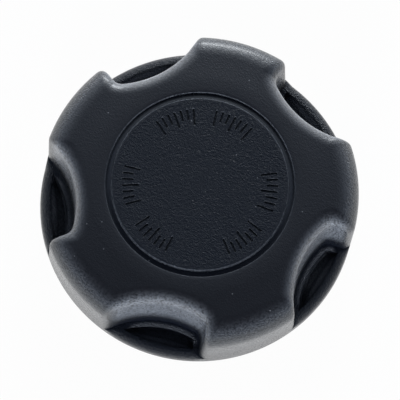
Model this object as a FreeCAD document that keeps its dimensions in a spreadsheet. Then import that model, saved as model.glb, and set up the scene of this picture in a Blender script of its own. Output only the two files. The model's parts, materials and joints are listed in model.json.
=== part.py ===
import FreeCAD, Part
import math
import os
import Sketcher

# Fuel filler cap: a five-lobed hand grip that turns a threaded closure through a
# ratchet, with a vent valve in the middle of the closure.
# Millimetres. The origin is on the cap's axis at the grip's lower rim, +Z up.

doc = FreeCAD.newDocument("fuel_filler_cap")
sheet = doc.addObject("Spreadsheet::Sheet", "Sizes")

drivingSizes = [
    # Closure: the threaded cup that screws onto the filler neck
    ("threadRadius", 31.0, "bore radius at the roots of the neck thread"),
    ("threadLength", 14.0, "bore length from the mouth to the deck"),
    ("mouthChamfer", 0.8, "lead-in at the mouth of the bore"),
    ("skirtWall", 3.5, "wall of the closure around the bore"),
    ("deckThickness", 2.5, "closure deck across the neck"),
    ("shaftWall", 2.0, "wall of the tube that holds the valve housing"),
    ("shaftHeight", 5.3, "valve tube, from the underside of the deck"),
    ("bossRadius", 2.7, "screw boss on the deck"),
    ("bossHeight", 3.0, "screw boss above the deck"),
    ("gasketThickness", 2.0, "neck gasket"),
    ("gasketWidth", 5.0, "neck gasket, inner to outer radius"),
    ("gasketGap", 0.1, "gasket to the wall of its undercut"),
    ("gasketUndercut", 0.8, "undercut that holds the gasket"),
    # Ratchet between the closure and the grip
    ("toothCount", 24, "ratchet teeth"),
    ("toothHeight", 1.1, "ratchet tooth"),
    ("toothWidth", 5.3, "ratchet tooth ramp along the circle"),
    ("toothInset", 1.0, "teeth to the inner edge of the ratchet ring"),
    ("toothLength", 6.0, "length of a tooth along the radius"),
    ("toothRise", 0.15, "rest gap between the facing teeth"),
    ("toothSideGap", 0.3, "gap at the steep faces of the teeth"),
    ("ratchetPlate", 2.15, "ratchet ring above its teeth"),
    ("ratchetWidth", 9.1, "ratchet ring, inner to outer radius"),
    ("ratchetGap", 0.3, "ratchet ring to grip"),
    ("springSpace", 3.0, "height between the ratchet ring and the roof"),
    ("springGap", 0.05, "wave spring to its neighbours"),
    ("springStrip", 0.5, "thickness of the wave spring strip"),
    ("springWidth", 5.0, "width of the wave spring strip"),
    ("springWaves", 3, "waves round the spring"),
    ("keyCount", 6, "keys that turn the ratchet ring"),
    ("keyWidth", 4.0, "width of a key"),
    ("keyDepth", 1.4, "key standing in from the hub bore"),
    # Parts that keep the closure in the grip
    ("turnGap", 0.3, "radial gap between the closure and the grip"),
    ("hubRecess", 0.4, "hub end above the lower rim"),
    ("hubLip", 0.8, "hub below the snap ring groove"),
    ("snapThickness", 1.2, "snap ring"),
    ("snapGrip", 1.3, "depth of the snap ring in its groove"),
    ("snapReach", 2.3, "snap ring standing in from the hub bore"),
    ("snapOpening", 10.0, "degrees left open between the snap ring's ends"),
    ("groovePlay", 0.05, "snap ring to groove bottom"),
    ("washerThickness", 0.6, "glide washer"),
    ("washerGap", 0.2, "glide washer to hub bore"),
    ("runGap", 0.1, "closure to glide washer"),
    # Grip
    ("hubWall", 3.0, "wall of the hub in the grip"),
    ("notchLand", 4.4, "hub bore to the bottom of a finger notch"),
    ("notchDepth", 10.8, "finger notch, from its bottom to the rim circle"),
    ("gripWall", 2.8, "wall of the lobes"),
    ("roofThickness", 3.0, "top wall in the middle"),
    ("wallLean", 1.0, "lean of the lobes from base to top"),
    ("crownDrop", 1.7, "fall of the top face towards the rim"),
    ("crownInset", 8.7, "start of that fall, inside the bottom of a notch"),
    ("shoulderRadius", 8.5, "round between the top face and the lobes"),
    ("innerShoulder", 6.4, "the same round inside the wall"),
    ("notchCount", 5, "finger notches"),
    ("sweepRadius", 28.4, "long sweep of a notch"),
    ("sweepShift", 4.6, "sweep centre to the notch's middle line"),
    ("notchCorner", 2.6, "corner between the sweep and the steep flank"),
    ("flankAngle", 15.0, "steep flank against the radius"),
    ("flankShift", 15.3, "steep flank to the notch's middle line at the rim"),
    ("notchDraft", 3.8, "draft of the notch wall in degrees"),
    ("blendShare", 0.176, "round along the top edge of a notch, as a share of the sweep"),
    ("lobeCorner", 2.2, "round on the upright corners of a lobe"),
    ("rimHeight", 4.0, "base rim under the notches"),
    ("rimRound", 2.6, "round on the rim's upper edge"),
    ("rimWidth", 3.2, "rim outside the recess in a notch floor"),
    ("ledgeWidth", 1.7, "ledge between the notch wall and the recess"),
    ("recessDepth", 2.8, "recess in a notch floor"),
    ("recessBlend", 0.7, "round at the bottom edge of the recess"),
    ("discInset", 12.0, "edge of the middle disc, inside the bottom of a notch"),
    ("grooveWidth", 1.7, "groove around the disc"),
    ("grooveDepth", 1.2, "depth of that groove"),
    ("grooveRound", 0.5, "round on the groove's edges"),
    ("ribThickness", 1.6, "ribs inside the lobes"),
    ("ribAngle", 10.5, "degrees between the ribs of a lobe"),
    ("ribClearance", 4.0, "rib ends above the lower rim"),
    # Valve housing in the closure
    ("barrelRadius", 12.8, "outside of the valve housing"),
    ("barrelWall", 2.3, "wall of the valve housing"),
    ("barrelGap", 0.2, "valve housing to its tube"),
    ("barrelHeight", 6.5, "valve housing above the deck's underside"),
    ("flangeWidth", 5.8, "flange of the valve housing, outside its barrel"),
    ("flangeThickness", 1.8, "thickness of that flange"),
    ("floorLift", 1.5, "housing floor above the flange's underside"),
    ("floorThickness", 1.0, "housing floor"),
    ("portRadius", 5.2, "vent port in the housing floor"),
    ("seatWidth", 1.0, "raised seat round the port"),
    ("seatHeight", 0.6, "height of the seat"),
    ("bafflePocket", 9.2, "radius of the pocket under the floor"),
    ("ringSection", 0.78, "section radius of the housing seal"),
    ("ringGrooveWidth", 2.0, "groove for the housing seal"),
    ("ringGrooveLift", 2.1, "groove above the deck's underside"),
    ("sealPlay", 0.02, "housing seal to groove and tube"),
    ("screwCount", 3, "housing screws"),
    ("screwRadius", 1.1, "screw shank"),
    ("screwHead", 2.2, "screw head radius"),
    ("screwHeadHeight", 1.1, "height of the countersunk head"),
    ("screwLength", 6.0, "screw, head included"),
    ("screwPlay", 0.05, "shank to its hole"),
    # Valves
    ("sealThickness", 0.6, "seat seal under the pressure plate"),
    ("sealInner", 1.9, "inner radius of the seat seal"),
    ("sealOuter", 7.4, "outer radius of the seat seal"),
    ("plateThickness", 1.0, "pressure plate"),
    ("plateGap", 0.4, "pressure plate to housing"),
    ("collarRadius", 2.3, "collar on the pressure plate"),
    ("collarHeight", 0.8, "height of that collar"),
    ("stemRadius", 1.05, "stem of the vacuum valve"),
    ("stemGap", 0.1, "stem to its hole in the plate"),
    ("stemTop", 2.3, "stem above the collar"),
    ("poppetRadius", 4.0, "head of the vacuum valve"),
    ("poppetThickness", 0.8, "thickness of that head"),
    ("breatherRadius", 0.55, "breather holes through plate and seal"),
    ("breatherCircle", 3.0, "circle of the breather holes"),
    ("breatherCount", 4, "breather holes"),
    ("plateSlots", 6, "slots in the plate's edge"),
    ("slotRadius", 1.3, "radius of those slots"),
    ("clipThickness", 0.6, "push-on clip of the stem"),
    ("clipRadius", 2.6, "radius of that clip"),
    ("clipInset", 0.2, "stem end above the clip"),
    ("pressureCoil", 7.0, "mean radius of the pressure spring"),
    ("pressureWire", 0.6, "wire of the pressure spring"),
    ("pressureTurns", 3, "turns of the pressure spring"),
    ("vacuumCoil", 1.85, "mean radius of the vacuum spring"),
    ("vacuumWire", 0.3, "wire of the vacuum spring"),
    ("vacuumTurns", 3, "turns of the vacuum spring"),
    ("coverThickness", 0.9, "cover of the valve housing"),
    ("coverSpigot", 0.8, "spigot of the cover in the housing"),
    ("spigotWall", 0.9, "wall of that spigot"),
    ("spigotGap", 0.05, "spigot to housing"),
    ("coverHole", 3.3, "middle hole in the cover"),
    ("coverVents", 6, "vent holes in the cover"),
    ("ventRadius", 1.1, "radius of those holes"),
    ("ventCircle", 6.2, "circle of those holes"),
    ("filterGap", 0.4, "dust filter to roof"),
    ("filterInset", 0.4, "dust filter inside the cover's edge"),
    ("screenThickness", 0.3, "fuel screen"),
    ("baffleThickness", 1.0, "splash baffle"),
    ("bafflePlay", 0.1, "baffle and screen to their pocket"),
    ("baffleSlots", 5, "slots in the splash baffle"),
    ("baffleSlotLength", 5.0, "length of a slot in the baffle"),
    ("baffleSlotWidth", 1.5, "width of a slot in the baffle"),
    ("baffleSlotInner", 2.6, "inner end of a slot"),
]

for row, (alias, number, meaning) in enumerate(drivingSizes, 1):
    sheet.set(f"A{row}", meaning)
    sheet.set(f"B{row}", str(number))
    sheet.setAlias(f"B{row}", alias)
doc.recompute()


# A length that carries its number together with its spreadsheet formula.
class Size:
    def __init__(self, number, formula):
        self.number = float(number)
        self.formula = formula

    def __add__(self, other):
        other = asSize(other)
        return Size(self.number + other.number, f"({self.formula} + {other.formula})")

    def __sub__(self, other):
        other = asSize(other)
        return Size(self.number - other.number, f"({self.formula} - {other.formula})")

    def __mul__(self, other):
        other = asSize(other)
        return Size(self.number * other.number, f"({self.formula} * {other.formula})")

    def __truediv__(self, other):
        other = asSize(other)
        return Size(self.number / other.number, f"({self.formula} / {other.formula})")


def asSize(value):
    if isinstance(value, Size):
        return value
    return Size(value, repr(float(value)))


def size(alias):
    return Size(sheet.get(alias), f"Sizes.{alias}")


def bind(item, prop, value):
    value = asSize(value)
    whole = isinstance(getattr(item, prop), int)
    setattr(item, prop, int(value.number) if whole else value.number)
    item.setExpression(prop, value.formula)


# Heights, from the lower rim up
zero = asSize(0)
snapLow = size("hubRecess") + size("hubLip")
snapTop = snapLow + size("snapThickness")
washerTop = snapTop + size("washerThickness")
mouth = washerTop + size("runGap")
deckLow = mouth + size("threadLength")
deckTop = deckLow + size("deckThickness")
ratchetLow = deckTop + size("toothRise")
ratchetTop = ratchetLow + size("toothHeight") + size("ratchetPlate")
roofLow = ratchetTop + size("springSpace")
capHeight = roofLow + size("roofThickness")

# Radii, from the thread out
skirtRadius = size("threadRadius") + size("skirtWall")
hubBore = skirtRadius + size("turnGap")
hubOuter = hubBore + size("hubWall")
notchBed = hubBore + size("notchLand")
capRadius = notchBed + size("notchDepth")
ratchetOuter = hubBore - size("ratchetGap")
ratchetInner = ratchetOuter - size("ratchetWidth")
keyInner = hubBore - size("keyDepth")
grooveBottom = hubBore + size("snapGrip")

# Valve heights
flangeLow = deckLow - size("flangeThickness")
floorLow = flangeLow + size("floorLift")
floorTop = floorLow + size("floorThickness")
seatTop = floorTop + size("seatHeight")
plateLow = seatTop + size("sealThickness")
plateTop = plateLow + size("plateThickness")
collarTop = plateTop + size("collarHeight")
stemEnd = collarTop + size("stemTop")
clipTop = stemEnd - size("clipInset")
clipLow = clipTop - size("clipThickness")
barrelTop = deckLow + size("barrelHeight")
coverTop = barrelTop + size("coverThickness")
shaftTop = deckLow + size("shaftHeight")
barrelInner = size("barrelRadius") - size("barrelWall")
shaftBore = size("barrelRadius") + size("barrelGap")
flangeRadius = size("barrelRadius") + size("flangeWidth")
screwCircle = (shaftBore + flangeRadius) / 2
undercut = size("threadRadius") + size("gasketUndercut")
gasketLow = deckLow - size("gasketThickness")


# Helpers for bodies and sketches

def newBody(label):
    body = doc.addObject("PartDesign::Body", label)
    body.Label = label
    body.AllowCompound = True
    return body


def originPart(body, role):
    return next(item for item in body.Origin.OriginFeatures if item.Role == role)


def newSketch(body, name, role, lift=None):
    sketch = body.newObject("Sketcher::SketchObject", name)
    sketch.AttachmentSupport = (originPart(body, role), [""])
    sketch.MapMode = "FlatFace"
    if lift is not None:
        sketch.AttachmentOffset = FreeCAD.Placement(
            FreeCAD.Vector(0, 0, lift.number), FreeCAD.Rotation())
        sketch.setExpression("AttachmentOffset.Base.z", lift.formula)
    return sketch


def pin(sketch, geometry, point, kind, value):
    value = asSize(value)
    axis = {"DistanceX": -2, "DistanceY": -1}[kind]
    if value.number == 0:
        sketch.addConstraint(Sketcher.Constraint("PointOnObject", geometry, point, axis))
        return
    if value.number > 0:
        place = Sketcher.Constraint(kind, -1, 1, geometry, point, value.number)
        formula = value.formula
    else:
        place = Sketcher.Constraint(kind, geometry, point, -1, 1, -value.number)
        formula = f"-{value.formula}"
    index = sketch.addConstraint(place)
    sketch.setExpression(f"Constraints[{index}]", formula)


def polygon(sketch, points):
    corners = [FreeCAD.Vector(asSize(x).number, asSize(y).number, 0) for x, y in points]
    count = len(corners)
    first = sketch.GeometryCount
    for index in range(count):
        sketch.addGeometry(Part.LineSegment(corners[index], corners[(index + 1) % count]))
    for index in range(count):
        follower = first + (index + 1) % count
        sketch.addConstraint(Sketcher.Constraint("Coincident", first + index, 2, follower, 1))
    for index, (x, y) in enumerate(points):
        pin(sketch, first + index, 1, "DistanceX", x)
        pin(sketch, first + index, 1, "DistanceY", y)


def circle(sketch, x, y, radius):
    centre = FreeCAD.Vector(asSize(x).number, asSize(y).number, 0)
    geometry = sketch.addGeometry(Part.Circle(centre, FreeCAD.Vector(0, 0, 1), radius.number))
    index = sketch.addConstraint(Sketcher.Constraint("Radius", geometry, radius.number))
    sketch.setExpression(f"Constraints[{index}]", radius.formula)
    pin(sketch, geometry, 3, "DistanceX", x)
    pin(sketch, geometry, 3, "DistanceY", y)


def turned(body, name, profiles, cut=False, angle=360):
    sketch = newSketch(body, f"{name}_profile", "XZ_Plane")
    for points in profiles:
        polygon(sketch, points)
    kind = "PartDesign::Groove" if cut else "PartDesign::Revolution"
    feature = body.newObject(kind, name)
    feature.Profile = sketch
    feature.ReferenceAxis = (sketch, ["V_Axis"])
    bind(feature, "Angle", angle)
    body.Tip = feature
    doc.recompute()
    return feature


def ringProfile(inner, outer, low, top):
    return [(inner, low), (outer, low), (outer, top), (inner, top)]


def drilled(body, name, holes, low, length, cut=True):
    sketch = newSketch(body, f"{name}_circles", "XY_Plane", low)
    for x, y, radius in holes:
        circle(sketch, x, y, radius)
    feature = body.newObject("PartDesign::Pocket" if cut else "PartDesign::Pad", name)
    feature.Profile = sketch
    bind(feature, "Length", length)
    feature.Reversed = cut
    body.Tip = feature
    doc.recompute()
    return feature


def repeated(body, name, feature, count):
    pattern = body.newObject("PartDesign::PolarPattern", name)
    pattern.Originals = [feature]
    pattern.Axis = (originPart(body, "Z_Axis"), [""])
    pattern.Angle = 360
    bind(pattern, "Occurrences", count)
    body.Tip = pattern
    doc.recompute()
    return pattern


def rounded(body, name, kind, prop, value, wanted):
    base = body.Tip
    edges = [f"Edge{n}" for n, edge in enumerate(base.Shape.Edges, 1) if wanted(edge)]
    feature = body.newObject(kind, name)
    feature.Base = (base, edges)
    bind(feature, prop, value)
    body.Tip = feature
    doc.recompute()
    return feature


def isRing(edge, radius, height):
    if not isinstance(edge.Curve, Part.Circle):
        return False
    near = abs(edge.Curve.Radius - radius.number) < 0.001
    return near and abs(edge.Curve.Center.z - height.number) < 0.001


def solidFeature(label, shape):
    feature = doc.addObject("Part::Feature", label)
    feature.Label = label
    feature.Shape = shape
    return feature


def coilSpring(label, radius, wire, low, high, turns):
    body = newBody(label)
    sketch = newSketch(body, "wire_section", "XZ_Plane")
    circle(sketch, radius, low + wire / 2, wire / 2)
    coil = body.newObject("PartDesign::AdditiveHelix", "coil")
    coil.Profile = sketch
    coil.ReferenceAxis = (sketch, ["V_Axis"])
    bind(coil, "Height", high - low - wire)
    bind(coil, "Pitch", (high - low - wire) / turns)
    body.Tip = coil
    doc.recompute()
    return body


# Closure body: deck, skirt, valve tube, screw bosses and ratchet teeth

def toothOutline(rise, side):
    # Steep face first, then the ramp that slips when the cap is tight
    back = zero - size("toothWidth") / 2 - side
    front = size("toothWidth") / 2
    foot = deckTop - size("toothRise")
    crest = deckTop + size("toothHeight") + rise
    if side:
        crest = crest + size("toothHeight") * side / size("toothWidth")
    return [(back, foot), (front, foot), (front, deckTop + rise), (back, crest)]


def makeClosure():
    body = newBody("closure_body")
    threadRadius = size("threadRadius")
    turned(body, "cup", [[
        (shaftBore, deckLow), (undercut, deckLow), (undercut, gasketLow),
        (threadRadius, gasketLow), (threadRadius, mouth),
        (skirtRadius, mouth), (skirtRadius, deckTop), (shaftBore + size("shaftWall"), deckTop),
        (shaftBore + size("shaftWall"), shaftTop), (shaftBore, shaftTop)]])
    rounded(body, "mouth_chamfer", "PartDesign::Chamfer", "Size", size("mouthChamfer"),
            lambda edge: isRing(edge, threadRadius, mouth))
    boss = drilled(body, "boss", [(screwCircle, 0, size("bossRadius"))], deckTop,
                   size("bossHeight"), cut=False)
    repeated(body, "bosses", boss, size("screwCount"))
    pilot = drilled(body, "pilot", [(screwCircle, 0, size("screwRadius") + size("screwPlay"))],
                    deckLow, size("deckThickness") + size("bossHeight"))
    repeated(body, "pilots", pilot, size("screwCount"))
    sketch = newSketch(body, "tooth_profile", "YZ_Plane", ratchetInner + size("toothInset"))
    polygon(sketch, toothOutline(zero, zero))
    tooth = body.newObject("PartDesign::Pad", "tooth")
    tooth.Profile = sketch
    bind(tooth, "Length", size("toothLength"))
    body.Tip = tooth
    doc.recompute()
    repeated(body, "teeth", tooth, size("toothCount"))
    return body


# Ratchet ring: rides on the grip's keys and presses its teeth into the closure's

def makeRatchetRing():
    body = newBody("ratchet_ring")
    turned(body, "ring", [ringProfile(ratchetInner, ratchetOuter, ratchetLow, ratchetTop)])
    sketch = newSketch(body, "gap_profile", "YZ_Plane", ratchetInner / 2)
    polygon(sketch, toothOutline(size("toothRise"), size("toothSideGap")))
    gap = body.newObject("PartDesign::Pocket", "gap")
    gap.Profile = sketch
    gap.Reversed = True
    bind(gap, "Length", ratchetOuter)
    body.Tip = gap
    doc.recompute()
    repeated(body, "gaps", gap, size("toothCount"))
    slotSketch = newSketch(body, "key_slot_outline", "XY_Plane", ratchetLow)
    half = size("keyWidth") / 2 + size("ratchetGap")
    inner = keyInner - size("ratchetGap")
    outer = hubBore + size("hubWall")
    polygon(slotSketch, [(inner, zero - half), (outer, zero - half), (outer, half), (inner, half)])
    slot = body.newObject("PartDesign::Pocket", "key_slot")
    slot.Profile = slotSketch
    slot.Reversed = True
    bind(slot, "Length", ratchetTop - ratchetLow)
    body.Tip = slot
    doc.recompute()
    repeated(body, "key_slots", slot, size("keyCount"))
    return body


# Grip shell: lobes, finger notches with recessed floors, hub, keys and ribs

def notchOutline(grow, height):
    # The long sweep, the corner and the steep flank of one notch, closed outside the cap.
    # A positive grow moves the wall into the lobes.
    sweep = size("sweepRadius").number + grow
    corner = size("notchCorner").number + grow
    lean = math.radians(size("flankAngle").number)
    centreX = notchBed.number + size("sweepRadius").number
    centreY = size("sweepShift").number
    along = (math.cos(lean), math.sin(lean))
    across = (-math.sin(lean), math.cos(lean))
    flankEndY = (size("flankShift").number + (centreX - capRadius.number) * math.tan(lean)
                 + grow / math.cos(lean))
    # The corner's centre lies one corner radius inside the flank and inside the sweep
    backX = centreX - corner * across[0] - centreX
    backY = flankEndY - corner * across[1] - centreY
    middle = backX * along[0] + backY * along[1]
    reach = backX ** 2 + backY ** 2 - (sweep - corner) ** 2
    slide = -middle - math.sqrt(middle ** 2 - reach)
    cornerX = centreX + backX + slide * along[0]
    cornerY = centreY + backY + slide * along[1]

    def onCircle(x, y, radius, angle):
        return FreeCAD.Vector(x + radius * math.cos(angle), y + radius * math.sin(angle), height)

    meetAngle = math.atan2(cornerY - centreY, cornerX - centreX) % (2 * math.pi)
    flankAngle = math.atan2(across[1], across[0])
    sweepEnd = 1.5 * math.pi
    low = onCircle(centreX, centreY, sweep, sweepEnd)
    sweepMiddle = onCircle(centreX, centreY, sweep, (sweepEnd + meetAngle) / 2)
    meet = onCircle(centreX, centreY, sweep, meetAngle)
    cornerMiddle = onCircle(cornerX, cornerY, corner, (meetAngle + flankAngle) / 2)
    flank = onCircle(cornerX, cornerY, corner, flankAngle)
    flankEnd = FreeCAD.Vector(centreX, flankEndY, height)
    return Part.Wire([
        Part.Arc(low, sweepMiddle, meet).toShape(),
        Part.Arc(meet, cornerMiddle, flank).toShape(),
        Part.makeLine(flank, flankEnd),
        Part.makeLine(flankEnd, low)])


def roundAbout(shape, count):
    turns = []
    for index in range(count):
        turn = shape.copy()
        turn.rotate(FreeCAD.Vector(0, 0, 0), FreeCAD.Vector(0, 0, 1), 360 * index / count)
        turns.append(turn)
    return turns


def spun(points):
    corners = [FreeCAD.Vector(x, 0, z) for x, z in points]
    face = Part.Face(Part.makePolygon(corners + corners[:1]))
    return face.revolve(FreeCAD.Vector(0, 0, 0), FreeCAD.Vector(0, 0, 1), 360)


def ringEdges(shape, radius, height):
    return [edge for edge in shape.Edges if isRing(edge, asSize(radius), asSize(height))]


def prism(wire, height):
    return Part.Face(wire).extrude(FreeCAD.Vector(0, 0, height))


def makeGrip():
    radius = capRadius.number
    top = capHeight.number
    shoulder = top - size("crownDrop").number
    crown = (notchBed - size("crownInset")).number
    topRadius = radius - size("wallLean").number
    rim = size("rimHeight").number
    count = int(size("notchCount").number)
    blank = spun([(0, 0), (radius, 0), (topRadius, shoulder), (crown, top), (0, top)])
    shoulderEdges = ringEdges(blank, topRadius, shoulder)
    blank = blank.makeFillet(size("shoulderRadius").number, shoulderEdges)
    groove = (notchBed - size("discInset")).number
    ring = spun([(groove, top - size("grooveDepth").number),
                 (groove + size("grooveWidth").number, top - size("grooveDepth").number),
                 (groove + size("grooveWidth").number, top + 1), (groove, top + 1)])
    blank = blank.cut(ring)
    grooveEdges = ringEdges(blank, groove, top)
    grooveEdges += ringEdges(blank, groove + size("grooveWidth").number, top)
    blank = blank.makeFillet(size("grooveRound").number, grooveEdges)

    over = top + 1
    widen = math.tan(math.radians(size("notchDraft").number)) * (over - rim)
    notch = Part.makeLoft([notchOutline(0, rim), notchOutline(widen, over)], True, True)
    notches = roundAbout(notch, count)
    star = blank.cut(notches)
    blend = doc.addObject("Part::Fillet", "grip_blend")
    blend.Base = solidFeature("grip_star", star)
    walls = Part.makeCompound([item.Shells[0] for item in notches])
    blend.Edges = notchRounds(star, blank.Shells[0], walls)
    doc.recompute()
    form = blend.Shape

    # Rounded rim and recessed floor of each notch
    turnCorner = size("rimRound").number
    tube = Part.makeTorus(radius - turnCorner, turnCorner, FreeCAD.Vector(0, 0, rim - turnCorner))
    corner = spun([(radius - turnCorner, rim - turnCorner), (radius + 1, rim - turnCorner),
                   (radius + 1, rim + turnCorner), (radius - turnCorner, rim + turnCorner)])
    low = rim - turnCorner
    edgeTool = corner.cut(tube).common(prism(notchOutline(0, low), 2 * turnCorner))
    ledge = size("ledgeWidth").number
    floor = rim - size("recessDepth").number
    within = Part.makeCylinder(radius - size("rimWidth").number, top, FreeCAD.Vector(0, 0, floor))
    recess = prism(notchOutline(-ledge, floor), size("recessDepth").number + 1).common(within)
    floorEdges = [edge for edge in recess.Edges if edge.BoundBox.ZMax < floor + 0.001]
    recess = recess.makeFillet(size("recessBlend").number, floorEdges)
    tools = roundAbout(edgeTool, count) + roundAbout(recess, count)
    form = form.cut(tools)

    # Hollow: what is left inside the walls, less the hub, the keys and the ribs
    wall = size("gripWall").number
    roof = roofLow.number
    inside = spun([(0, -1), (radius - wall, -1), (topRadius - wall, roof), (0, roof)])
    inside = inside.makeFillet(size("innerShoulder").number,
                               ringEdges(inside, topRadius - wall, roof))
    backs = prism(notchOutline(wall, -1), roof + 2)
    inside = inside.cut(roundAbout(backs, count))
    hubLow = size("hubRecess").number
    outerHub = Part.makeCylinder(hubOuter.number, top, FreeCAD.Vector(0, 0, hubLow))
    bore = Part.makeCylinder(hubBore.number, roof + 1, FreeCAD.Vector(0, 0, -1))
    seat = Part.makeCylinder(grooveBottom.number + size("groovePlay").number,
                             size("snapThickness").number, FreeCAD.Vector(0, 0, snapLow.number))
    hub = outerHub.cut([bore, seat])
    keyLow = deckTop.number + size("ratchetGap").number
    key = Part.makeBox(size("keyDepth").number + 1, size("keyWidth").number, top,
                       FreeCAD.Vector(keyInner.number, -size("keyWidth").number / 2, keyLow))
    keys = roundAbout(key, int(size("keyCount").number))
    thick = size("ribThickness").number
    ribStart = hubOuter.number - 1
    rib = Part.makeBox(radius - ribStart, thick, top,
                       FreeCAD.Vector(ribStart, -thick / 2, size("ribClearance").number))
    ribs = []
    for step in (-1, 0, 1):
        turn = rib.copy()
        turn.rotate(FreeCAD.Vector(0, 0, 0), FreeCAD.Vector(0, 0, 1),
                    180 / count + step * size("ribAngle").number)
        ribs += roundAbout(turn, count)
    hollow = inside.cut([hub] + keys + ribs)
    solids = sorted(hollow.Solids, key=lambda solid: -solid.Volume)
    shell = form.cut(solids)
    return solidFeature("grip_shell", shell.removeSplitter())


def notchRounds(star, blankShell, walls):
    # The round is small on the upright corners and grows towards the top face
    wallRadius = capRadius.number - size("wallLean").number
    crownEdge = wallRadius - size("shoulderRadius").number
    small = size("lobeCorner").number
    large = (size("sweepRadius") * size("blendShare")).number
    rim = size("rimHeight").number

    def roundAt(point):
        share = (wallRadius - math.hypot(point.x, point.y)) / (wallRadius - crownEdge)
        return small + (large - small) * min(max(share, 0), 1)

    rounds = []
    for index, edge in enumerate(star.Edges, 1):
        middle = edge.valueAt((edge.FirstParameter + edge.LastParameter) / 2)
        if middle.z < rim + 0.01:
            continue
        probe = Part.Vertex(middle)
        if blankShell.distToShape(probe)[0] > 0.001 or walls.distToShape(probe)[0] > 0.001:
            continue
        first = roundAt(edge.valueAt(edge.FirstParameter))
        last = roundAt(edge.valueAt(edge.LastParameter))
        rounds.append((index, first, last))
    return rounds


# Rings that keep the closure in the grip

def makeSnapRing():
    body = newBody("snap_ring")
    profile = ringProfile(hubBore - size("snapReach"), grooveBottom, snapLow, snapTop)
    turned(body, "ring_sweep", [profile], angle=asSize(360) - size("snapOpening"))
    return body


def makeGlideWasher():
    body = newBody("glide_washer")
    inner = hubBore - size("snapReach")
    turned(body, "washer", [ringProfile(inner, hubBore - size("washerGap"), snapTop, washerTop)])
    return body


def makeWaveSpring():
    strip = size("springStrip").number
    swing = (size("springSpace").number - strip) / 2 - size("springGap").number
    middle = (ratchetTop.number + roofLow.number - strip) / 2
    outer = (ratchetInner + ratchetOuter + size("springWidth")).number / 2
    waves = size("springWaves").number
    stepsPerWave = 12
    steps = int(stepsPerWave * waves)

    def loop(radius):
        points = []
        for step in range(steps):
            angle = 2 * math.pi * step / steps
            height = middle + swing * math.cos(waves * angle)
            points.append(FreeCAD.Vector(radius * math.cos(angle), radius * math.sin(angle), height))
        curve = Part.BSplineCurve()
        curve.interpolate(points, PeriodicFlag=True)
        return curve.toShape()

    face = Part.makeRuledSurface(loop(outer - size("springWidth").number), loop(outer))
    return solidFeature("wave_spring", face.extrude(FreeCAD.Vector(0, 0, strip)))


# Seals of the closure

def makeNeckGasket():
    body = newBody("neck_gasket")
    outer = undercut - size("gasketGap")
    turned(body, "gasket", [ringProfile(outer - size("gasketWidth"), outer, gasketLow, deckLow)])
    return body


def makeHousingSeal():
    torus = doc.addObject("Part::Torus", "housing_seal")
    torus.Label = "housing_seal"
    middle = shaftBore - size("sealPlay") - size("ringSection")
    height = deckLow + size("ringGrooveLift") + size("ringGrooveWidth") / 2
    bind(torus, "Radius1", middle)
    bind(torus, "Radius2", size("ringSection"))
    torus.Placement = FreeCAD.Placement(FreeCAD.Vector(0, 0, height.number), FreeCAD.Rotation())
    torus.setExpression("Placement.Base.z", height.formula)
    return torus


# Valve housing, its cover, filter, screen and baffle

def makeHousing():
    body = newBody("valve_housing")
    barrel = size("barrelRadius")
    pocket = size("bafflePocket")
    grooveFloor = shaftBore - (size("sealPlay") + size("ringSection")) * 2
    grooveLow = deckLow + size("ringGrooveLift")
    grooveTop = grooveLow + size("ringGrooveWidth")
    port = size("portRadius")
    turned(body, "shell", [[
        (pocket, flangeLow), (flangeRadius, flangeLow), (flangeRadius, deckLow),
        (barrel, deckLow), (barrel, grooveLow), (grooveFloor, grooveLow), (grooveFloor, grooveTop),
        (barrel, grooveTop), (barrel, barrelTop), (barrelInner, barrelTop), (barrelInner, floorTop),
        (port + size("seatWidth"), floorTop), (port + size("seatWidth"), seatTop),
        (port, seatTop), (port, floorLow), (pocket, floorLow)]])
    hole = drilled(body, "screw_hole", [(screwCircle, 0, size("screwRadius") + size("screwPlay"))],
                   flangeLow, size("flangeThickness"))
    repeated(body, "screw_holes", hole, size("screwCount"))
    sinkSketch = newSketch(body, "sink_profile", "XZ_Plane")
    wide = size("screwHead") + size("screwPlay")
    narrow = size("screwRadius") + size("screwPlay")
    sinkTop = flangeLow + size("screwHeadHeight")
    polygon(sinkSketch, [(screwCircle, flangeLow), (screwCircle + wide, flangeLow),
                         (screwCircle + narrow, sinkTop), (screwCircle, sinkTop)])
    sinkAxis = sinkSketch.addGeometry(Part.LineSegment(
        FreeCAD.Vector(screwCircle.number, sinkTop.number, 0),
        FreeCAD.Vector(screwCircle.number, flangeLow.number, 0)), True)
    sinkSketch.addConstraint(Sketcher.Constraint("Coincident", sinkAxis, 1, 3, 1))
    sinkSketch.addConstraint(Sketcher.Constraint("Coincident", sinkAxis, 2, 0, 1))
    sink = body.newObject("PartDesign::Groove", "sink")
    sink.Profile = sinkSketch
    sink.ReferenceAxis = (sinkSketch, ["Axis0"])
    sink.Angle = 360
    body.Tip = sink
    doc.recompute()
    repeated(body, "sinks", sink, size("screwCount"))
    return body


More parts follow.
